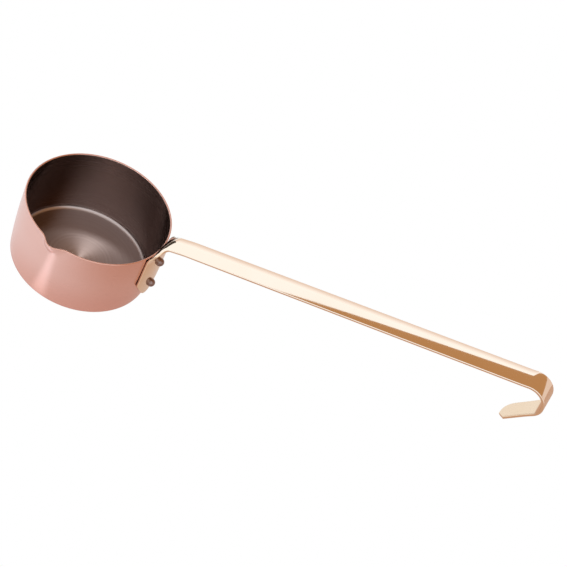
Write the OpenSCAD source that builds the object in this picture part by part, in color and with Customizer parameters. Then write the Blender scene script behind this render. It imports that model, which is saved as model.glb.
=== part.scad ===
// Small copper coffee pot with a pouring lip and one long riveted brass handle that ends in a hook.
// The origin is the middle of the underside. +Z is up the cup and +X runs along the handle.

/* [Cup] */
// Outside diameter at the rim
rim_d = 80; // [60:1:120]
// Outside diameter at the base, where the wall meets the bottom corner
base_d = 76.8; // [56:1:116]
// Height from the underside to the rim
cup_h = 41.3; // [30:0.1:70]
// Depth of the straight band below the rim
straight_h = 8; // [4:0.5:14]
// Thickness of the copper
copper_t = 0.9; // [0.6:0.1:2]
// Thickness of the lining bonded to the inside of the copper
lining_t = 0.2; // [0.1:0.05:0.5]
// Outside radius of the bottom corner
corner_r = 2.2; // [1.8:0.1:6]
// How far the lining stops below the rim
lining_drop = 0.3; // [0.1:0.1:1]

/* [Lip] */
// Angle of the pouring lip, clockwise from the handle
lip_angle = 94; // [70:1:110]
// How far the lip stands out from the rim
lip_reach = 3.8; // [2:0.1:6]
// Radius of the lip at the rim
lip_r = 6; // [5:0.1:8]
// Depth of the lip down the wall
lip_h = 8; // [5:0.5:14]

/* [Handle strip] */
// Thickness of the brass strip
strip_t = 1.5; // [0.8:0.1:2.5]
// Width of the blade where it leaves the pot
blade_w_pot = 12.8; // [9:0.1:18]
// Width of the blade at the hook
blade_w_hook = 13.8; // [9:0.1:18]
// Radius of the dome pressed along the top of the blade
crown_r = 24; // [18:1:60]
// Rise of the blade above level
blade_rise = 17.6; // [5:0.1:30]
// Length of the straight blade
blade_len = 197.1; // [100:0.1:260]
// Height of the blade's top line over the rim, measured at the wall
blade_lift = 8.9; // [7:0.1:14]
// Radius of the bend at the pot, on its top side
bend_r = 9; // [6:0.5:11]
// How far the bend stands off the wall's line where it leaves the tab
bend_standoff = 0.2; // [0.1:0.05:0.4]

/* [Handle tab] */
// Width of the tab that lies on the wall
tab_w = 23.6; // [18:0.1:34]
// Drop of the tab's lower corners below the rim
tab_drop = 21.5; // [14:0.1:24]
// Slope of the tab's cut corners
tab_slope = 53; // [30:1:60]
// Radius of the tab's rounded lower end
tab_nose_r = 7; // [4:0.5:8]
// How much larger the radius of the tab's inner face is than the rim's, so it bears along its middle
tab_flatness = 6; // [1:1:60]
// Radius of the tab's upper shoulders
tab_shoulder_r = 4; // [2:0.5:6]

/* [Hook] */
// Radius of the first bend of the hook, on its outside
hook_r = 10; // [7:0.5:16]
// Radius of the second bend of the hook, on its outside
curl_r = 9.5; // [5:0.5:10]
// Turn of the second bend past straight down
curl_turn = 39.5; // [10:0.1:60]
// Length of the straight tongue, up to its cut corners
tongue_len = 15.3; // [8:0.5:25]
// Width of the tongue at its cut corners
tongue_w = 11.6; // [6:0.1:14]
// Slope of the tongue's cut corners
tongue_slope = 45; // [30:1:60]
// Radius of the tongue's rounded point
tongue_nose_r = 2.5; // [1:0.5:3.5]

/* [Rivets] */
// Drop of the upper rivet below the rim
upper_rivet_drop = 8.2; // [6:0.1:12]
// Drop of the lower rivet below the rim
lower_rivet_drop = 24.9; // [16:0.1:26]
// Diameter of the rivets' shank
shank_d = 3; // [2:0.1:4]
// Diameter of the outer heads
head_d = 4.6; // [4:0.1:7]
// Height of the outer heads above the tab
head_h = 2.9; // [1:0.1:3.4]
// Diameter of the flat heads inside the cup
inner_head_d = 6; // [5:0.1:8]
// Height of the inner heads above the lining
inner_head_h = 0.6; // [0.4:0.1:1.2]
// Radial clearance of the shank in its holes
rivet_clearance = 0.05; // [0.02:0.01:0.1]

/* [Hidden] */
$fn = 96;
eps = 0.01;

rim_r = rim_d / 2;
tab_curve_r = rim_r + tab_flatness;
base_r = base_d / 2;
// The wall is a straight band below the rim, then an arc that draws in to the base radius
arc_h = cup_h - straight_h;
draw_in = rim_r - base_r;
wall_arc_r = (arc_h * arc_h + draw_in * draw_in) / (2 * draw_in);
wall_arc_x = rim_r - wall_arc_r;
above = 60;
spare = 1;
over_rim = 2;
open_top = cup_h + 2 * over_rim;
lip_axis = rim_r + lip_reach - lip_r;
lip_foot_inset = 0.3;
lip_foot_r = rim_r - lip_axis - lip_foot_inset;
lip_flare = (lip_r - lip_foot_r) / lip_h;

// The strip's path runs in the XZ plane along the strip's top side. Angles are headings.
bend_turn = 90 - blade_rise;
bend_tangent = bend_r * tan(bend_turn / 2);
bend_z = cup_h + blade_lift + bend_standoff * tan(blade_rise) - bend_tangent;
bend_x = rim_r + bend_standoff + bend_r;
blade_start = [bend_x - bend_r * sin(blade_rise), bend_z + bend_r * cos(blade_rise)];
blade_end = blade_start + blade_len * [cos(blade_rise), sin(blade_rise)];
hook_c = blade_end + hook_r * [sin(blade_rise), -cos(blade_rise)];
curl_c = hook_c + [hook_r - curl_r, 0];
tongue_heading = -90 - curl_turn;
tongue_start = curl_c + curl_r * [cos(curl_turn), -sin(curl_turn)];
tongue_tip_len = end_len(tongue_w / 2, tongue_nose_r, tongue_slope);
tongue_total = tongue_len + tongue_tip_len;
tongue_end = tongue_start + tongue_total * [cos(tongue_heading), sin(tongue_heading)];
// Depth taken up by the dome and the strip together
crown_depth = crown_r - sqrt(crown_r * crown_r - blade_w_hook * blade_w_hook / 4);
section_depth = strip_t + crown_depth + spare;
cut_depth = 40;
hole_reach = 8;
arc_steps = 12;
// How far a bend runs into the straight blade, and how far it lies under the blade's crown
weld = 0.3;
bend_sink = 0.15;
// Steps along a rounded corner of an outline
corner_steps = 8;
least_fillet = 0.3;
shoulder_inset = 0.5;

// Length of a cut end: two sloping corners that meet in a rounded nose
function end_len(half_w, nose_r, slope) =
    (half_w - nose_r * sin(slope)) * tan(slope) - nose_r * cos(slope) + nose_r;

// Cup outline, inset from the outside by a wall thickness, as half of a turned section
module cup_outline(inset, top) {
    r = wall_arc_r - inset;
    fillet = max(corner_r - inset, least_fillet);
    floor_z = inset;
    fz = floor_z + fillet;
    dz = cup_h - straight_h - fz;
    fx = wall_arc_x + sqrt(pow(r - fillet, 2) - dz * dz);
    tangent_z = cup_h - straight_h - dz * r / (r - fillet);
    arc_top = cup_h - straight_h;
    translate([0, floor_z]) square([fx, top - floor_z]);
    translate([fx, fz]) circle(fillet);
    intersection() {
        translate([wall_arc_x, arc_top]) circle(r);
        translate([0, tangent_z]) square([rim_r - inset, arc_top - tangent_z + eps]);
    }
    translate([0, arc_top]) square([rim_r - inset, top - arc_top]);
}

// Solid that fills the cup and its lip, inset by a wall thickness
module cup_volume(inset, top) {
    rotate_extrude() cup_outline(inset, top);
    rotate([0, 0, -lip_angle]) translate([lip_axis, 0, cup_h - lip_h])
        cylinder(h = top - cup_h + lip_h, r1 = lip_foot_r - inset,
            r2 = lip_foot_r - inset + lip_flare * (top - cup_h + lip_h));
}

// Cuts a shape off level at a height
module trimmed(top) {
    intersection() {
        children();
        translate([-rim_d, -rim_d, -over_rim]) cube([2 * rim_d, 2 * rim_d, top + over_rim]);
    }
}

// Places a rivet's axis on the tab's inner face, pointing level out of the pot
module at_rivet(drop) {
    translate([rim_r, 0, cup_h - drop]) rotate([0, 90, 0]) children();
}

// Holes for both rivets through the wall at the handle
module rivet_holes() {
    for (drop = [upper_rivet_drop, lower_rivet_drop])
        at_rivet(drop) translate([0, 0, -hole_reach])
            cylinder(h = 2 * hole_reach, d = shank_d + 2 * rivet_clearance);
}

// Strip section: x is across the thickness with the crown at x = 0, y is across the width
module strip_section(half_w) {
    intersection() {
        difference() {
            translate([-crown_r, 0]) circle(crown_r);
            translate([-crown_r, 0]) circle(crown_r - strip_t);
        }
        translate([-section_depth, -half_w]) square([section_depth, 2 * half_w]);
    }
}

// Points of an end with two cut corners and a rounded nose: x runs back from the nose's point
function cut_end(half_w, nose_r, slope) = concat(
    [[end_len(half_w, nose_r, slope), half_w]],
    [for (k = [0:corner_steps]) let (t = 180 - slope + 2 * slope * k / corner_steps)
        [nose_r + nose_r * cos(t), nose_r * sin(t)]],
    [[end_len(half_w, nose_r, slope), -half_w]]
);

// Points of a quarter-round corner about a centre
function round_corner(c, r, from) =
    [for (k = [0:corner_steps]) let (t = from + 90 * k / corner_steps) c + r * [cos(t), sin(t)]];

// Places a straight stretch that ends at a point of the path, with its length running back along it
module along(end, heading) {
    translate([end[0], 0, end[1]]) rotate([0, -90 - heading, 0]) children();
}

// Turns an outline of [back along the stretch, across] into a cutter through the strip
module cutter(depth = cut_depth) {
    translate([depth / 2, 0, 0]) rotate([0, -90, 0]) linear_extrude(depth) children();
}

// Points along an arc, after its first one
function arc_points(c, r, from, to) =
    [for (k = [1:arc_steps]) let (t = from + (to - from) * k / arc_steps) c + r * [cos(t), sin(t)]];

// One side of the hook seen from the side, at a depth under the path of the crown
function hook_side(depth) = concat(
    [blade_end + [depth * sin(blade_rise) - weld * cos(blade_rise),
        -depth * cos(blade_rise) - weld * sin(blade_rise)]],
    arc_points(hook_c, hook_r - depth, 90 + blade_rise, 0),
    arc_points(curl_c, curl_r - depth, 0, -curl_turn),
    [tongue_end + depth * [sin(tongue_heading), -cos(tongue_heading)]]
);

function reversed(points) = [for (k = [len(points) - 1:-1:0]) points[k]];

// Tab: stands upright, curved a little flatter than the rim, and bears on the wall along its middle
module tab() {
    tip = end_len(tab_w / 2, tab_nose_r, tab_slope);
    low = cup_h - tab_drop - tip;
    shoulder_x = bend_z + spare - low - tab_shoulder_r;
    shoulder_y = tab_w / 2 - tab_shoulder_r;
    intersection() {
        translate([rim_r - tab_curve_r, 0, 0]) difference() {
            cylinder(h = above, r = tab_curve_r + strip_t);
            translate([0, 0, -spare]) cylinder(h = above + 2 * spare, r = tab_curve_r);
        }
        translate([rim_r + cut_depth / 2, 0, low]) rotate([0, -90, 0]) linear_extrude(cut_depth)
            polygon(concat(
                cut_end(tab_w / 2, tab_nose_r, tab_slope),
                round_corner([shoulder_x, -shoulder_y], tab_shoulder_r, -90),
                round_corner([shoulder_x, shoulder_y], tab_shoulder_r, 0)
            ));
    }
}

// Bend: a flat strip turned from the wall to the blade's rise, waisted from the tab to the blade
module bend() {
    waist_r = bend_r;
    half = blade_w_pot / 2;
    shoulder = tab_w / 2 - tab_shoulder_r - shoulder_inset;
    difference() {
        translate([bend_x, 0, bend_z]) rotate([90, 0, 0]) rotate([0, 0, 90 + blade_rise])
            rotate_extrude(angle = bend_turn)
                translate([bend_r - bend_sink - strip_t, -shoulder]) square([strip_t, 2 * shoulder]);
        for (side = [-1, 1])
            translate([0, side * (half + waist_r), bend_z + waist_r]) rotate([0, 90, 0])
                cylinder(h = 2 * bend_x, r = waist_r);
        for (side = [-1, 1])
            translate([0, side * (half + waist_r) - waist_r, bend_z + waist_r])
                cube([2 * bend_x, 2 * waist_r, above]);
    }
}

// Blade: the domed strip, a little wider at the hook than at the pot
module blade() {
    len = blade_len + weld;
    along(blade_end, blade_rise)
        intersection() {
            linear_extrude(len) strip_section(blade_w_hook);
            cutter() polygon([
                [0, -blade_w_hook / 2],
                [0, blade_w_hook / 2],
                [len, blade_w_pot / 2],
                [len, -blade_w_pot / 2]
            ]);
        }
}

// Hook: two bends and a tongue with a pointed end, cut from a flat strip
module hook() {
    half = blade_w_hook / 2;
    difference() {
        translate([0, half, 0]) rotate([90, 0, 0]) linear_extrude(blade_w_hook)
            polygon(concat(hook_side(bend_sink), reversed(hook_side(bend_sink + strip_t))));
        along(tongue_end, tongue_heading) cutter(4 * strip_t) difference() {
            translate([-spare, -half - spare]) square([tongue_total + spare, 2 * (half + spare)]);
            polygon(concat(
                cut_end(tongue_w / 2, tongue_nose_r, tongue_slope),
                [[tongue_total, -half - weld], [tongue_total + spare, 0], [tongue_total, half + weld]]
            ));
        }
    }
}

// One rivet: a shank with a domed outer head on the tab and a flat inner head on the lining
module rivet(drop) {
    dome_r = (head_d * head_d / 4 + head_h * head_h) / (2 * head_h);
    inside = copper_t + lining_t;
    // The flat inner head bears on the hollow wall at its lower edge
    inner_wall_r = wall_radius(cup_h - drop - inner_head_d / 2) - inside;
    inner_seat = rim_r - sqrt(inner_wall_r * inner_wall_r - inner_head_d * inner_head_d / 4);
    at_rivet(drop) rotate_extrude() {
        translate([0, -inner_seat - inner_head_h / 2])
            square([shank_d / 2, inner_seat + inner_head_h / 2 + strip_t + head_h / 2]);
        translate([0, -inner_seat - inner_head_h]) square([inner_head_d / 2, inner_head_h]);
        translate([0, strip_t]) intersection() {
            translate([0, head_h - dome_r]) circle(dome_r);
            square([head_d, head_d]);
        }
    }
}

// Outside radius of the wall at a height
function wall_radius(z) =
    z >= cup_h - straight_h ? rim_r
    : wall_arc_x + sqrt(wall_arc_r * wall_arc_r - pow(cup_h - straight_h - z, 2));

module copper_cup() {
    color([0.83, 0.62, 0.55]) difference() {
        trimmed(cup_h) cup_volume(0, cup_h + over_rim);
        cup_volume(copper_t, open_top);
        rivet_holes();
    }
}

module inner_lining() {
    color([0.42, 0.36, 0.34]) difference() {
        trimmed(cup_h - lining_drop) cup_volume(copper_t, cup_h + over_rim);
        cup_volume(copper_t + lining_t, open_top);
        rivet_holes();
    }
}

module brass_handle() {
    color([0.9, 0.76, 0.54]) difference() {
        union() {
            tab();
            bend();
            blade();
            hook();
        }
        rivet_holes();
    }
}

module upper_rivet() {
    color([0.6, 0.55, 0.55]) rivet(upper_rivet_drop);
}

module lower_rivet() {
    color([0.6, 0.55, 0.55]) rivet(lower_rivet_drop);
}

copper_cup();
inner_lining();
brass_handle();
upper_rivet();
lower_rivet();
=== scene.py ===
"""Small copper coffee pot with a pouring lip, a thin metal lining and a long riveted brass handle.

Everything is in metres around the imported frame: +Z up the cup, +X along the handle, the lip on the -Y side.
"""

import bpy
import numpy as np
from mathutils import Matrix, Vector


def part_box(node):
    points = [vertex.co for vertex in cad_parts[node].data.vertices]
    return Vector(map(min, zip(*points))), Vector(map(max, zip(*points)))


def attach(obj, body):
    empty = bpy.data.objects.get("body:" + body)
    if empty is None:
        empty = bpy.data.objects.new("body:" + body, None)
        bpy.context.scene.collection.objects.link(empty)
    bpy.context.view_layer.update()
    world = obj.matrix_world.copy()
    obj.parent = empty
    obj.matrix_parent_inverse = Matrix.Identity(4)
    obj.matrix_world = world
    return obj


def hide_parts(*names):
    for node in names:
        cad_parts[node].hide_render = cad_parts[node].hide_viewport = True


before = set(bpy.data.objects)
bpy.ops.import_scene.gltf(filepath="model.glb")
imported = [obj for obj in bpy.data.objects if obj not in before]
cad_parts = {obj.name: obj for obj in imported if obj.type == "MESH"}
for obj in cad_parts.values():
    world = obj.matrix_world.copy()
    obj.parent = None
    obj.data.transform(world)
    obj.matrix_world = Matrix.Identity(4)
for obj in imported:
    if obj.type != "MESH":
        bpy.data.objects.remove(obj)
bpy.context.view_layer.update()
MM = 0.001

# ---------------------------------------------------------------------------------------------
# Copper cup
# The shell is one disc of copper, pressed and spun to a nearly straight wall with a small bottom
# corner, then polished. Its pouring lip is pushed out of the rim over a rounded tool.
# ---------------------------------------------------------------------------------------------

cup_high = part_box("copper_cup")[1]
rim_radius = cup_high.y / MM
cup_height = cup_high.z / MM
straight_band = 8.0
copper_thick = 0.9
bottom_corner = 2.2
rim_round = 0.35
draw_in_at_base = 1.6
lip_angle = np.radians(-94.0)
lip_reach = 3.7
lip_half_width = 10.0
lip_depth = 8.5
lip_foot_share = 0.55
base_radius = rim_radius - draw_in_at_base


def wall_line(z):
    """Outside radius of the wall: straight below the rim, then an arc that draws in to the base radius."""
    drop = cup_height - straight_band
    draw_in = rim_radius - base_radius
    arc = (drop * drop + draw_in * draw_in) / (2 * draw_in)
    below = np.clip(drop - np.asarray(z, float), 0, None)
    return rim_radius - arc + np.sqrt(arc * arc - below * below)


def cup_line(inset, top, corner, floor_steps=26, corner_steps=14, wall_steps=64):
    """Half section of the cup at an inset from its outside, as (radius, height) rows from the middle of the
    floor, along the floor, round the corner and up the wall to a height. The corner is a quarter circle
    whose centre lies its radius inside the wall and above the floor."""
    centre_z = inset + corner
    centre_r = wall_line(centre_z) - inset - corner
    across = np.linspace(0, 1, floor_steps) ** 0.8 * centre_r
    floor_part = np.stack([across, np.full(floor_steps, inset)], 1)
    turn = np.linspace(-np.pi / 2, 0, corner_steps + 1)[1:]
    corner_part = np.stack([centre_r + corner * np.cos(turn), centre_z + corner * np.sin(turn)], 1)
    up = centre_z + (top - centre_z) * np.sin(np.linspace(0, np.pi / 2, wall_steps + 1)[1:])
    wall_part = np.stack([wall_line(up) - inset, up], 1)
    return np.concatenate([floor_part, corner_part, wall_part])


def lip_push(angle, height):
    """How far the lip stands out at an angle round the cup and a height: a raised cosine, to the power 1.5,
    across a lip that narrows down the wall, times a squared cosine of the depth."""
    across = (angle - lip_angle + np.pi) % (2 * np.pi) - np.pi
    depth = np.clip((cup_height - height) / lip_depth, 0, 1)
    half = lip_half_width * (1 - (1 - lip_foot_share) * depth)
    u = np.clip(np.abs(across) * rim_radius / half, 0, 1)
    return lip_reach * (0.5 + 0.5 * np.cos(np.pi * u)) ** 1.5 * np.cos(depth * np.pi / 2) ** 2


def turned(section, angles):
    """Turns a half section round the cup's axis: rows follow the section and columns the angle. The lip
    pushes each point outwards along its own radius, and fades out towards the middle of the floor."""
    radius, height = section[:, :1], section[:, 1:]
    share = np.clip(radius / rim_radius * 1.6 - 0.5, 0, 1)
    out = radius + share * lip_push(angles[None, :], height)
    return np.stack([out * np.cos(angles), out * np.sin(angles), height + 0 * out], -1)


def closed_surface(name, grid, marks=None):
    """A mesh from a grid of points in millimetres: rows run from one pole to the other, columns close into
    rings, and the first and last row each shrink to one point. Faces are turned to point outwards. marks is
    a dictionary of extra values, one for each grid point, that a material can read."""
    rows, columns = grid.shape[:2]
    inner = grid[1:-1].reshape(-1, 3)
    points = np.concatenate([inner, grid[:1].mean(1), grid[-1:].mean(1)]) * MM
    first, last = len(points) - 2, len(points) - 1
    number = np.arange(len(inner)).reshape(rows - 2, columns)
    beside = np.roll(number, -1, axis=1)
    quads = np.stack([number[:-1], beside[:-1], beside[1:], number[1:]], -1).reshape(-1, 4)
    start = np.stack([np.full(columns, first), beside[0], number[0]], 1)
    end = np.stack([np.full(columns, last), number[-1], beside[-1]], 1)
    a, b, c = (points[quads[:, k]] for k in (0, 1, 2))
    if np.einsum("ij,ij->i", a, np.cross(b, c)).sum() < 0:
        quads, start, end = quads[:, ::-1], start[:, ::-1], end[:, ::-1]
    mesh = bpy.data.meshes.new(name)
    mesh.from_pydata(points.tolist(), [], quads.tolist() + start.tolist() + end.tolist())
    for mark, values in (marks or {}).items():
        flat = np.concatenate([values[1:-1].ravel(), values[:1].mean(1), values[-1:].mean(1)])
        mesh.attributes.new(mark, "FLOAT", "POINT").data.foreach_set("value", flat.astype(np.float32))
    mesh.polygons.foreach_set("use_smooth", np.ones(len(mesh.polygons), bool))
    mesh.update()
    piece = bpy.data.objects.new(name, mesh)
    bpy.context.scene.collection.objects.link(piece)
    return piece


class Wire:
    """A shader socket that Python arithmetic can be done on: each operator adds one Math node."""

    def __init__(self, finish, socket):
        self.finish, self.socket = finish, socket

    def math(self, operation, *values):
        return self.finish.node("ShaderNodeMath", {"operation": operation}, dict(enumerate(values)))

    def __add__(self, other):
        return self.math("ADD", self, other)

    def __mul__(self, other):
        return self.math("MULTIPLY", self, other)

    def __sub__(self, other):
        return self.math("SUBTRACT", self, other)

    def __rsub__(self, other):
        return self.math("SUBTRACT", other, self)

    __radd__, __rmul__ = __add__, __mul__

    def to(self, low, high):
        """0 below low, 1 above high and a smooth step between them."""
        return self.finish.node("ShaderNodeMapRange", {"interpolation_type": "SMOOTHSTEP"},
                                {"Value": self, "From Min": low, "From Max": high})


class Finish:
    """A material under construction, with a Principled shader whose own sockets hold its constants."""

    def __init__(self, name, **constants):
        self.material = bpy.data.materials.new(name)
        self.material.use_nodes = True
        self.tree = self.material.node_tree
        self.shader = self.tree.nodes["Principled BSDF"]
        for socket, value in constants.items():
            self.shader.inputs[socket.replace("_", " ")].default_value = value
        self.place = self.node("ShaderNodeTexCoord", {}, {}, "Object")

    def node(self, kind, settings, sockets, out=0):
        """Any node: its settings are set first, then each socket takes a value or a wire."""
        made = self.tree.nodes.new(kind)
        for setting, value in settings.items():
            setattr(made, setting, value)
        for socket, value in sockets.items():
            if isinstance(value, Wire):
                self.tree.links.new(value.socket, made.inputs[socket])
            else:
                made.inputs[socket].default_value = value
        return Wire(self, made.outputs[out])

    def noise(self, scale, stretch=(1, 1, 1), detail=3.0):
        """Noise on Object coordinates, in cycles a metre, stretched along the axes."""
        place = self.node("ShaderNodeVectorMath", {"operation": "MULTIPLY"},
                          {0: self.place, 1: tuple(scale * s for s in stretch)})
        return self.node("ShaderNodeTexNoise", {}, {"Vector": place, "Scale": 1.0, "Detail": detail})

    def axes(self):
        """The three Object coordinates as wires."""
        made = self.tree.nodes.new("ShaderNodeSeparateXYZ")
        self.tree.links.new(self.place.socket, made.inputs[0])
        return [Wire(self, out) for out in made.outputs]

    def mark(self, name):
        """A value stored on the mesh's points."""
        return self.node("ShaderNodeAttribute", {"attribute_name": name}, {}, "Fac")

    def mix(self, share, first, second):
        """First colour where share is 0, second where it is 1."""
        return self.node("ShaderNodeMix", {"data_type": "RGBA"}, {0: share, 6: first, 7: second}, 2)

    def bump(self, height, distance, strength=1.0):
        return self.node("ShaderNodeBump", {},
                         {"Height": height, "Distance": distance, "Strength": strength}, "Normal")

    def wear(self, piece, **wires):
        """Links the varying sockets and puts the finish on a piece."""
        for socket, wire in wires.items():
            self.tree.links.new(wire.socket, self.shader.inputs[socket.replace("_", " ")])
        piece.data.materials.append(self.material)


round_cup = np.linspace(0, 2 * np.pi, 360, endpoint=False)
outside = cup_line(0.0, cup_height - rim_round, bottom_corner)
inside = cup_line(copper_thick, cup_height - rim_round, bottom_corner - copper_thick)[::-1]
rim_turn = np.linspace(0, np.pi, 9)
rim_middle = rim_radius - copper_thick / 2
rim_edge = np.stack([rim_middle + copper_thick / 2 * np.cos(rim_turn),
                     cup_height - rim_round + rim_round * np.sin(rim_turn)], 1)[1:-1]
copper_cup = closed_surface("cup_shell", turned(np.concatenate([outside, rim_edge, inside]), round_cup))

copper = Finish("polished_copper", Metallic=1.0, Anisotropic=0.6, Anisotropic_Rotation=0.25)
copper_pale, copper_deep = (0.80, 0.50, 0.44, 1), (0.70, 0.33, 0.25, 1)
z = copper.axes()[2]
mottle = copper.noise(60, detail=4)
spun = copper.noise(1, (90, 90, 2600), detail=2)
# Painted shade: the copper is painted deeper towards the bottom of the wall, in place of the shaded floor it
# reflects there. The mottle is the metal's own uneven tone.
painted_low_shade = 1 - z.to(0.002, 0.026)
copper.wear(copper_cup,
            Base_Color=copper.mix(painted_low_shade * 0.55 + mottle * 0.14, copper_pale, copper_deep),
            Roughness=0.17 + spun * 0.10 + mottle * 0.05,
            Normal=copper.bump(spun, 0.00001, 0.5))
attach(copper_cup, "root")
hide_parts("copper_cup")

# ---------------------------------------------------------------------------------------------
# Inner lining
# A thin grey metal skin bonded to the inside of the copper before it was spun. It stops just
# under the rim and keeps the fine rings that turning left on its floor and wall.
# ---------------------------------------------------------------------------------------------

lining_thick = 0.2
lining_drop = 0.3
lining_top = cup_height - lining_drop - lining_thick / 2
lining_corner = 2.4
lining_outer = cup_line(copper_thick, lining_top, bottom_corner - copper_thick)
lining_inner = cup_line(copper_thick + lining_thick, lining_top, lining_corner)[::-1]
lining_turn = np.linspace(0, np.pi, 5)
lining_edge = np.stack([rim_radius - copper_thick - lining_thick / 2 * (1 - np.cos(lining_turn)),
                        lining_top + lining_thick / 2 * np.sin(lining_turn)], 1)[1:-1]
inner_lining = closed_surface(
    "cup_lining", turned(np.concatenate([lining_outer, lining_edge, lining_inner]), round_cup))

lining = Finish("turned_lining", Metallic=1.0, Anisotropic=0.7, Anisotropic_Rotation=0.25)
lining_dark, lining_light = (0.25, 0.18, 0.16, 1), (0.53, 0.455, 0.44, 1)
# The third, near-black colour is painted shade for the lining's left and right walls.
lining_shade_colour = (0.115, 0.07, 0.055, 1)
x, y, z = lining.axes()
reach_squared = x * x + y * y
reach = reach_squared.math("SQRT", reach_squared)
floor_share = 1 - z.to(0.0012, 0.004)
corner_share = reach.to(0.0352, 0.0362) * (1 - z.to(0.0022, 0.0042))
# Painted shade: the left and right walls of the lining, above the floor, are painted nearly black.
painted_side_shade = (x * x).to(0.0003, 0.0013) * (1 - floor_share)
rings = lining.node("ShaderNodeTexNoise", {"noise_dimensions": "1D"},
                    {"W": reach * 900, "Scale": 1.0, "Detail": 3.0, "Roughness": 0.6})
hoops = lining.node("ShaderNodeTexNoise", {"noise_dimensions": "1D"},
                    {"W": z * 2200, "Scale": 1.0, "Detail": 2.0, "Roughness": 0.6})
turned_marks = rings * floor_share + hoops * (1 - floor_share)
# The turned marks vary the tone for real. The floor is painted paler as painted light, and a pale ring at the
# inside corner is a painted highlight.
paleness = 0.08 + turned_marks * 0.30 + floor_share * 0.36 + corner_share * 0.8
lining_marks_and_light = lining.mix(paleness, lining_dark, lining_light)
lining.wear(inner_lining,
            Base_Color=lining.mix(painted_side_shade, lining_marks_and_light, lining_shade_colour),
            Roughness=0.18 + turned_marks * 0.13 + floor_share * 0.06,
            Normal=lining.bump(turned_marks, 0.00001, 0.4))
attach(inner_lining, "root")
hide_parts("inner_lining")

# ---------------------------------------------------------------------------------------------
# Brass handle
# One strip of polished brass. The lower end is a wide tab, curved to the wall and cut to a
# point. It is waisted and bent out over the rim, runs as a blade with a pressed dome, and its
# far end is bent round into a hook whose tongue is cut back on the near side.
# ---------------------------------------------------------------------------------------------

strip_thick = 1.5
edge_round = 0.42
rise = np.radians(17.6)
blade_length = 197.1
blade_lift = 8.9
pot_bend = 9.0
standoff = 0.2
tab_half, tab_drop, tab_slope, tab_nose = 11.8, 21.5, np.radians(53), 7.0
tab_curve_radius = 46.0
blade_half_pot, blade_half_hook = 6.4, 6.9
hook_bend, curl_bend, curl_turn = 10.0, 9.5, np.radians(39.5)
tongue_length, tongue_half, tongue_slope, tongue_nose = 15.3, 5.8, np.radians(45), 2.5
dome_radius = 24.0
tip_side, tongue_cut, tongue_round = 2.2, 3.2, 9.0
bend_shift = 0.7
near_narrowing, far_narrowing = (3.8, 12.5), (1.0, 8.0)
corner_ease = 0.35
most_lean = 0.95


def point_length(half, slope, nose):
    """Length of a cut end: a rounded nose, then two sloping sides that run out to the full half width."""
    return (half - nose * np.sin(slope)) * np.tan(slope) - nose * np.cos(slope) + nose


def point_half(back, half, slope, nose):
    """Half width of a cut end at a distance back from its point: the nose is a circle, the sides are
    straight, and the corner where they meet the parallel edges is eased."""
    on_nose = nose * (1 - np.cos(slope))
    circle = np.sqrt(np.clip(back * (2 * nose - back), 0, None))
    side = nose * np.sin(slope) + (back - on_nose) / np.tan(slope)
    shape = np.where(back < on_nose, circle, side)
    eased_off = (np.sqrt((half - shape) ** 2 + corner_ease ** 2) + (half - shape)) / 2
    return half - eased_off + corner_ease / 2 * np.clip(1 - back / on_nose, 0, 1)


def arc_path(centre, radius, start, stop, steps):
    """Points of an arc with the strip's top side on it, and the heading at each: a quarter turn less than
    the angle, as the path runs clockwise."""
    turn = np.linspace(start, stop, steps)
    points = np.array(centre) + radius * np.stack([np.cos(turn), np.sin(turn)], 1)
    return points, turn - np.pi / 2


bend_turn = np.pi / 2 - rise
bend_x = rim_radius + standoff + pot_bend
bend_z = cup_height + blade_lift + standoff * np.tan(rise) - pot_bend * np.tan(bend_turn / 2)
tab_point = point_length(tab_half, tab_slope, tab_nose)
tab_low = cup_height - tab_drop - tab_point
tongue_point = point_length(tongue_half, tongue_slope, tongue_nose)

tab_points, bend_points, blade_points = 420, 120, 300
hook_points, curl_points, tongue_points = 160, 60, 160
tab_z = np.linspace(tab_low, bend_z, tab_points)
tab_x = rim_radius + standoff * np.clip((tab_z - cup_height) / (bend_z - cup_height), 0, 1) ** 2
tab_path = np.stack([tab_x, tab_z], 1)
tab_heading = np.arctan2(np.gradient(tab_z), np.gradient(tab_x))
bend_path, bend_heading = arc_path([bend_x, bend_z], pot_bend, np.pi, np.pi / 2 + rise, bend_points)
ahead = np.array([np.cos(rise), np.sin(rise)])
left = np.array([-np.sin(rise), np.cos(rise)])
blade_path = bend_path[-1] + np.linspace(0, blade_length, blade_points)[:, None] * ahead
hook_centre = blade_path[-1] - hook_bend * left
hook_path, hook_heading = arc_path(hook_centre, hook_bend, np.pi / 2 + rise, 0, hook_points)
curl_centre = hook_centre + [hook_bend - curl_bend, 0]
curl_path, curl_heading = arc_path(curl_centre, curl_bend, 0, -curl_turn, curl_points)
tongue_run = np.linspace(0, tongue_length + tongue_point, tongue_points)
tongue_ahead = np.array([np.cos(curl_heading[-1]), np.sin(curl_heading[-1])])
tongue_path = curl_path[-1] + tongue_run[:, None] * tongue_ahead
path = np.concatenate(
    [tab_path, bend_path[1:], blade_path[1:], hook_path[1:], curl_path[1:], tongue_path[1:]])
heading = np.concatenate([tab_heading, bend_heading[1:], np.full(blade_points - 1, rise), hook_heading[1:],
                          curl_heading[1:], np.full(tongue_points - 1, curl_heading[-1])])
walked = np.concatenate([[0], np.cumsum(np.linalg.norm(np.diff(path, axis=0), axis=1))])
run_points = [tab_points, bend_points, blade_points, hook_points, curl_points, tongue_points]
tab_end, bend_end, blade_end, hook_end, curl_end, strip_end = walked[np.cumsum(np.array(run_points) - 1)]
path_at_rim = np.interp(cup_height, tab_z, walked[:tab_points])

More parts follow.
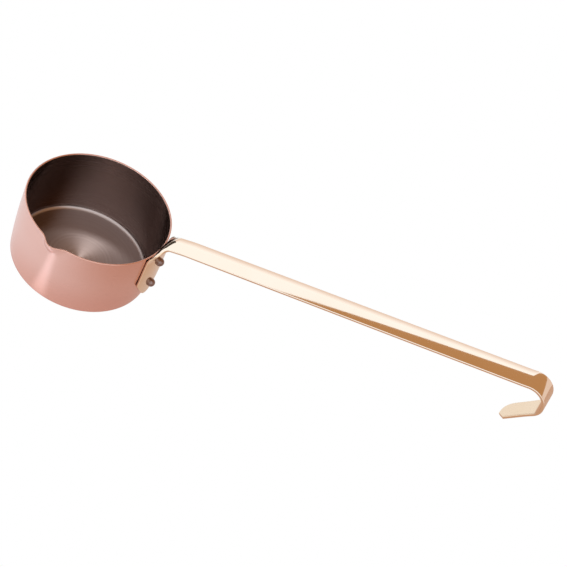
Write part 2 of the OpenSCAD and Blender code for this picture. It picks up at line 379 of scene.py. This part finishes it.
# Sections stand close together at both ends and round the bends, and further apart on the blade.
past_bend, before_hook, past_curl = bend_end + 14, blade_end - 8, curl_end + 3
near_end = 1 - np.cos(np.linspace(0, np.pi / 2, 60))
stations = np.unique(np.round(np.concatenate([
    near_end * tab_point, np.linspace(tab_point, path_at_rim, 30), np.linspace(path_at_rim, past_bend, 110),
    np.linspace(past_bend, before_hook, 60), np.linspace(before_hook, past_curl, 110),
    np.linspace(past_curl, strip_end - tongue_point, 20), strip_end - near_end * tongue_point]), 5))
run_x, run_z, run_heading = (np.interp(stations, walked, v) for v in (path[:, 0], path[:, 1], heading))


def eased(value, low, high):
    """A smooth step from 0 to 1 between two values."""
    t = np.clip((value - low) / (high - low), 0, 1)
    return t * t * (3 - 2 * t)


# The tab narrows to the blade later on the near side than on the far side.
near_waist, far_waist = (eased(stations, path_at_rim + begins, path_at_rim + ends)
                         for begins, ends in (near_narrowing, far_narrowing))
blade_share = np.clip((stations - bend_end) / (blade_end - bend_end), 0, 1)
tongue_share = eased(stations, hook_end - 4, curl_end + 6)
blade_half = blade_half_pot + (blade_half_hook - blade_half_pot) * blade_share
blade_half = blade_half + (tongue_half - blade_half_hook) * tongue_share
near_width, far_width = (
    point_half(stations, tab_half + (blade_half - tab_half) * waist, tab_slope, tab_nose)
    for waist in (near_waist, far_waist))
# The tongue's tip lies a little to the near side: it is cut back straight on that side and rounded off on
# the far side, as a third-power ellipse.
from_tip = strip_end - stations
near_half = tip_side + (near_width - tip_side) * np.clip(from_tip / tongue_cut, 0, 1)
far_round = (1 - (1 - np.clip(from_tip / tongue_round, 0, 1)) ** 3) ** (1 / 3)
far_half = (far_width + tip_side) * far_round - tip_side
half_width = (near_half + far_half) / 2
# The blade leaves the bend a little to the near side.
sideways = (far_half - near_half) / 2 - bend_shift * near_waist * (
    1 - eased(stations, bend_end - 3, bend_end + 9))
dome_share = eased(stations, path_at_rim, bend_end - 2) * (1 - eased(stations, blade_end - 4, hook_end - 4))
dome = -dome_share / dome_radius
curve = (1 - eased(stations, path_at_rim - 3, tab_end + 1)) / tab_curve_radius + dome


def strip_ring(half, turns=5, top_steps=45, under_steps=21):
    """Section of the strip as (across, down) rows, one ring for each half width: the top side, a rounded
    edge, the underside and the other rounded edge. The steps across are closer together near the edges."""
    round_off = np.minimum(edge_round, half * 0.9)[:, None]
    reach = half[:, None] - round_off
    top = np.sin(np.linspace(-np.pi / 2, np.pi / 2, top_steps))[None, :]
    under = np.sin(np.linspace(np.pi / 2, -np.pi / 2, under_steps))[None, :]
    turn = np.linspace(0, np.pi / 2, turns + 2)[None, 1:-1]
    across = np.concatenate([
        reach * top, reach + round_off * np.sin(turn), reach + round_off * np.cos(turn),
        reach * under, -reach - round_off * np.sin(turn), -reach - round_off * np.cos(turn)], 1)
    zero = 0 * reach
    down = np.concatenate([zero + 0 * top, edge_round * (1 - np.cos(turn)) + zero,
                           strip_thick - edge_round * (1 - np.sin(turn)) + zero,
                           zero + strip_thick + 0 * under,
                           strip_thick - edge_round * (1 - np.cos(turn)) + zero,
                           edge_round * (1 - np.sin(turn)) + zero], 1)
    return across, down


def bent_strip(stations_x, stations_z, headings, half, curl, shift):
    """Carries the section along the path. The section is curved across by a circle of curvature curl: a
    point that is a distance a across moves a*a*curl / (1 + sqrt(1 - (a*curl)^2)) along the path's left
    side, and the thickness is laid off square to that circle. shift moves a whole section sideways."""
    across, down = strip_ring(half)
    bow = curl[:, None]
    lean = np.clip(across * bow, -most_lean, most_lean)
    upright = np.sqrt(1 - lean * lean)
    lift = across * lean / (1 + upright) - down * upright
    side = across + down * lean + shift[:, None]
    left_x, left_z = -np.sin(headings)[:, None], np.cos(headings)[:, None]
    return np.stack([stations_x[:, None] + lift * left_x, side, stations_z[:, None] + lift * left_z], -1)


strip = bent_strip(run_x, run_z, run_heading, half_width, curve, sideways)
across_mark, down_mark = strip_ring(half_width)
brass_handle = closed_surface("strip_handle", strip, {
    "along": np.repeat(stations[:, None], strip.shape[1], 1) * MM, "across": across_mark * MM,
    "down": down_mark * MM})

brass = Finish("polished_brass", Metallic=1.0)
brass_pale, brass_deep = (0.955, 0.86, 0.76, 1), (0.80, 0.55, 0.30, 1)
along, across = brass.mark("along"), brass.mark("across")
stroke_place = brass.node("ShaderNodeCombineXYZ", {}, {0: along * 25, 1: across * 2600, 2: 0.0})
strokes = brass.node("ShaderNodeTexNoise", {}, {"Vector": stroke_place, "Scale": 1.0, "Detail": 2.0})
haze = brass.noise(45, detail=3)
# Painted shade: the rounded edges, side faces and underside of the strip are painted a deeper brass.
painted_edge_shade = brass.mark("down").to(0.0001, 0.0005)
brass.wear(brass_handle,
           Base_Color=brass.mix(haze * 0.16 + painted_edge_shade * 0.5, brass_pale, brass_deep),
           Roughness=0.035 + strokes * 0.03 + haze * 0.03,
           Normal=brass.bump(strokes, 0.000004, 0.4))
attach(brass_handle, "root")
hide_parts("brass_handle")

# ---------------------------------------------------------------------------------------------
# Two rivets
# Steel rivets hold the tab to the wall. The outer head is a turned dome on the brass, and the
# shank is hammered to a flat round head inside the cup.
# ---------------------------------------------------------------------------------------------

rivet_drops = {"upper_rivet": 8.2, "lower_rivet": 24.9}
shank_radius, head_radius, head_height = 1.5, 2.3, 2.9
inner_head_radius, inner_head_height = 3.0, 0.6
inner_edge_round, inner_head_sink, head_sink, head_bevel = 0.22, 0.12, 0.25, 0.05


def rivet_section(inner_seat):
    """Half section of a rivet as (radius, height over the tab's inner face): from the middle of the inner
    head, round its edge, up the shank, out under the outer head and over the dome, a circle through its
    rim and crown."""
    dome = (head_radius ** 2 + head_height ** 2) / (2 * head_height)
    turn = np.linspace(0.05, np.pi / 2, 22)[:-1]
    over = np.stack([dome * np.cos(turn), strip_thick + head_height - dome + dome * np.sin(turn)], 1)
    edge = np.linspace(-np.pi / 2, np.pi / 2, 9)
    below = -inner_seat - inner_head_height
    inner = np.stack([inner_head_radius - inner_edge_round + inner_edge_round * np.cos(edge),
                      below + inner_edge_round + inner_edge_round * np.sin(edge)], 1)
    return np.concatenate([[[0, below], [1.0, below], [2.0, below]], inner,
                           [[inner_head_radius, -inner_seat + inner_head_sink],
                            [shank_radius, -inner_seat + inner_head_sink],
                            [shank_radius, strip_thick - head_sink],
                            [head_radius - head_bevel, strip_thick - head_sink],
                            [head_radius, strip_thick + head_bevel]],
                           over, [[0, strip_thick + head_height]]])


steel = Finish("rivet_steel", Metallic=1.0)
steel_pale, steel_dark = (0.40, 0.30, 0.29, 1), (0.16, 0.10, 0.08, 1)
smudge = steel.noise(900, detail=3)
scuffs = steel.noise(2600, detail=2)
steel_look = {"Base_Color": steel.mix(smudge, steel_pale, steel_dark), "Roughness": 0.24 + smudge * 0.18,
              "Normal": steel.bump(scuffs, 0.00002, 0.5)}

ring = np.linspace(0, 2 * np.pi, 64, endpoint=False)
outward, sideward, upward = np.eye(3)

for rivet_name, drop in rivet_drops.items():
    hollow = wall_line(cup_height - drop - inner_head_radius) - copper_thick - lining_thick
    section = rivet_section(rim_radius - np.sqrt(hollow ** 2 - inner_head_radius ** 2))
    seat = np.array([rim_radius, 0, cup_height - drop])
    radius, height = section[:, 0][:, None, None], section[:, 1][:, None, None]
    body = seat + height * outward + radius * (np.cos(ring)[None, :, None] * upward
                                               + np.sin(ring)[None, :, None] * sideward)
    rivet = closed_surface(rivet_name + "_body", body)
    steel.wear(rivet, **steel_look)
    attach(rivet, "root")
    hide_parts(rivet_name)

# ---------------------------------------------------------------------------------------------
# Floor and studio
# A pale floor that the camera sees plain white, while its glow in reflections is painted with light and
# shade, a soft white room above it, cards that show in the polish, and one lamp that lights only the lining.
# ---------------------------------------------------------------------------------------------

floor_half = 6
floor_mesh = bpy.data.meshes.new("floor")
floor_mesh.from_pydata([(-floor_half, -floor_half, 0), (floor_half, -floor_half, 0),
                        (floor_half, floor_half, 0), (-floor_half, floor_half, 0)], [], [(0, 1, 2, 3)])
floor = bpy.data.objects.new("floor", floor_mesh)
bpy.context.scene.collection.objects.link(floor)
paper = Finish("pale_floor", Roughness=0.9, Base_Color=(0.2, 0.2, 0.2, 1), Emission_Strength=1.0)
paper_x, paper_y, _ = paper.axes()
# Painted light and shade in the floor's glow: cool and bright on the left, a darker warm painted shade on the
# right.
paper_lit_cool, paper_shaded_warm = (0.76, 0.80, 0.83, 1), (0.43, 0.255, 0.17, 1)
paper_glow = paper.mix(paper_x.to(-0.05, 0.10), paper_lit_cool, paper_shaded_warm)
# The glow seen in reflections is painted: a bright stripe of painted light runs out from under the lip, and
# painted shade makes the floor behind the pot on the left dark.
stripe_square_x, stripe_square_y, stripe_set_off = 0.948, 0.318, 0.0094
paper_painted_stripe, paper_painted_dark = (1.05, 1.12, 1.2, 1), (0.04, 0.03, 0.025, 1)
stripe_across = paper_x * stripe_square_x - paper_y * stripe_square_y - stripe_set_off
stripe_off = stripe_across.math("ABSOLUTE", stripe_across)
in_front = 1 - paper_y.to(-0.045, -0.035)
paper_glow = paper.mix((1 - stripe_off.to(0.001, 0.008)) * in_front, paper_glow, paper_painted_stripe)
shade_behind_left = (1 - (paper_x + paper_y).to(0.08, 0.16)) * paper_y.to(0.045, 0.07)
paper_glow = paper.mix(shade_behind_left, paper_glow, paper_painted_dark)
backdrop = paper.node("ShaderNodeEmission", {}, {"Color": (1, 1, 1, 1), "Strength": 1.0})
seen = paper.node("ShaderNodeLightPath", {}, {}, "Is Camera Ray")
paper_shader = Wire(paper, paper.shader.outputs[0])
paper_mix = paper.node("ShaderNodeMixShader", {}, {0: seen, 1: paper_shader, 2: backdrop})
paper.tree.links.new(paper_mix.socket, paper.tree.nodes["Material Output"].inputs["Surface"])
paper.wear(floor, Emission_Color=paper_glow)

room_white = 1.1
room = bpy.data.worlds.new("studio")
room.use_nodes = True
room.node_tree.nodes["Background"].inputs["Color"].default_value = (1, 1, 1, 1)
room.node_tree.nodes["Background"].inputs["Strength"].default_value = room_white
bpy.context.scene.world = room


# The back wall's top edge is level up to wall_bend, then climbs to its full height at wall_top_from.
wall_far, wall_high, wall_low, wall_right, wall_near = 2.6, 3.2, 1.6, 3.0, -1.0
wall_bend, wall_top_from = 0.2, 2.0
wall_climb = wall_high - wall_low
wall_brown = (0.78, 0.62, 0.53)


def card(name, corners, colour, fade=None):
    """A flat glowing card with its corners in order, out of the camera's sight, that shows in the metal.
    With fade, two heights, the colour turns to the room's white between them, and they climb to the
    right as the back wall's top edge does."""
    sheet = bpy.data.meshes.new(name)
    sheet.from_pydata(corners, [], [tuple(range(len(corners)))])
    made = bpy.data.objects.new(name, sheet)
    bpy.context.scene.collection.objects.link(made)
    board = Finish(name + "_paper", Roughness=0.9, Base_Color=(0.02, 0.012, 0.006, 1),
                   Emission_Color=(*colour, 1), Emission_Strength=1.0)
    glow = {}
    if fade:
        board_x, _, board_z = board.axes()
        whiteness = (board_z - board_x.to(wall_bend, wall_top_from) * wall_climb).to(*fade)
        glow["Emission_Color"] = board.mix(whiteness, (*colour, 1), (room_white, room_white, room_white, 1))
    board.wear(made, **glow)
    made.visible_camera = False


# A brown flag hangs over the handle. Behind the pot stand a black board on the left and a pale brown
# wall, white towards its top, that goes round to the right.
flag_height = 1.0
card("flag", [(-0.68, 0.0, flag_height), (-0.10, 2.41, flag_height), (0.04, 2.41, flag_height),
              (2.2, 1.6, flag_height), (2.9, 0.0, flag_height)], (0.47, 0.24, 0.095))
board_left, board_right, board_high = -4.5, -2.1, 1.3
card("black_board", [(board_left, wall_far, 0.0), (board_left, wall_far, board_high),
                     (board_right, wall_far, board_high), (board_right, wall_far, 0.0)], (0.02, 0.014, 0.01))
card("back_wall", [(board_right, wall_far, 0.0), (board_right, wall_far, wall_low),
                   (wall_bend, wall_far, wall_low), (wall_top_from, wall_far, wall_high),
                   (wall_right, wall_far, wall_high), (wall_right, wall_far, 0.0)],
     wall_brown, fade=(0.1, wall_low))
card("side_wall", [(wall_right, wall_far, 0.0), (wall_right, wall_far, wall_high),
                   (wall_right, wall_near, wall_high), (wall_right, wall_near, 0.0)], wall_brown)


def soft_lamp(name, place, aim, width, height, power):
    """A rectangular lamp at a place, turned to face a point."""
    data = bpy.data.lights.new(name, "AREA")
    data.shape, data.size, data.size_y, data.energy = "RECTANGLE", width, height, power
    lamp = bpy.data.objects.new(name, data)
    back = np.array(place, float) - np.array(aim, float)
    back /= np.linalg.norm(back)
    across = np.cross([0, 0, 1.0], back)
    across /= np.linalg.norm(across)
    turn = np.eye(4)
    turn[:3, 0], turn[:3, 1], turn[:3, 2], turn[:3, 3] = across, np.cross(back, across), back, place
    lamp.matrix_world = Matrix(turn.tolist())
    bpy.context.scene.collection.objects.link(lamp)
    return lamp


over_pot = soft_lamp("over_pot", (-0.18, 0.38, 0.80), (0, 0, 0.0), 0.16, 0.10, 0.85)
over_pot.visible_camera = False
lit_by_over_pot = bpy.data.collections.new("lit_by_over_pot")
lit_by_over_pot.objects.link(inner_lining)
over_pot.light_linking.receiver_collection = lit_by_over_pot

# ---------------------------------------------------------------------------------------------
# Camera
# A long lens, above and in front of the pot, rolled so that the handle falls to the right.
# ---------------------------------------------------------------------------------------------

lens_data = bpy.data.cameras.new("camera")
lens_data.lens = 101.587
lens_data.sensor_width = 36
camera = bpy.data.objects.new("camera", lens_data)
camera_turn = np.eye(4)
camera_turn[:3, 0] = 0.82323, 0.45133, 0.34437
camera_turn[:3, 1] = -0.55714, 0.52579, 0.64276
camera_turn[:3, 2] = 0.10903, -0.72100, 0.68430
camera_turn[:3, 3] = 0.19428, -0.58590, 0.62668
camera.matrix_world = Matrix(camera_turn.tolist())
bpy.context.scene.collection.objects.link(camera)
bpy.context.scene.camera = camera
bpy.context.scene.view_settings.view_transform = "Standard"
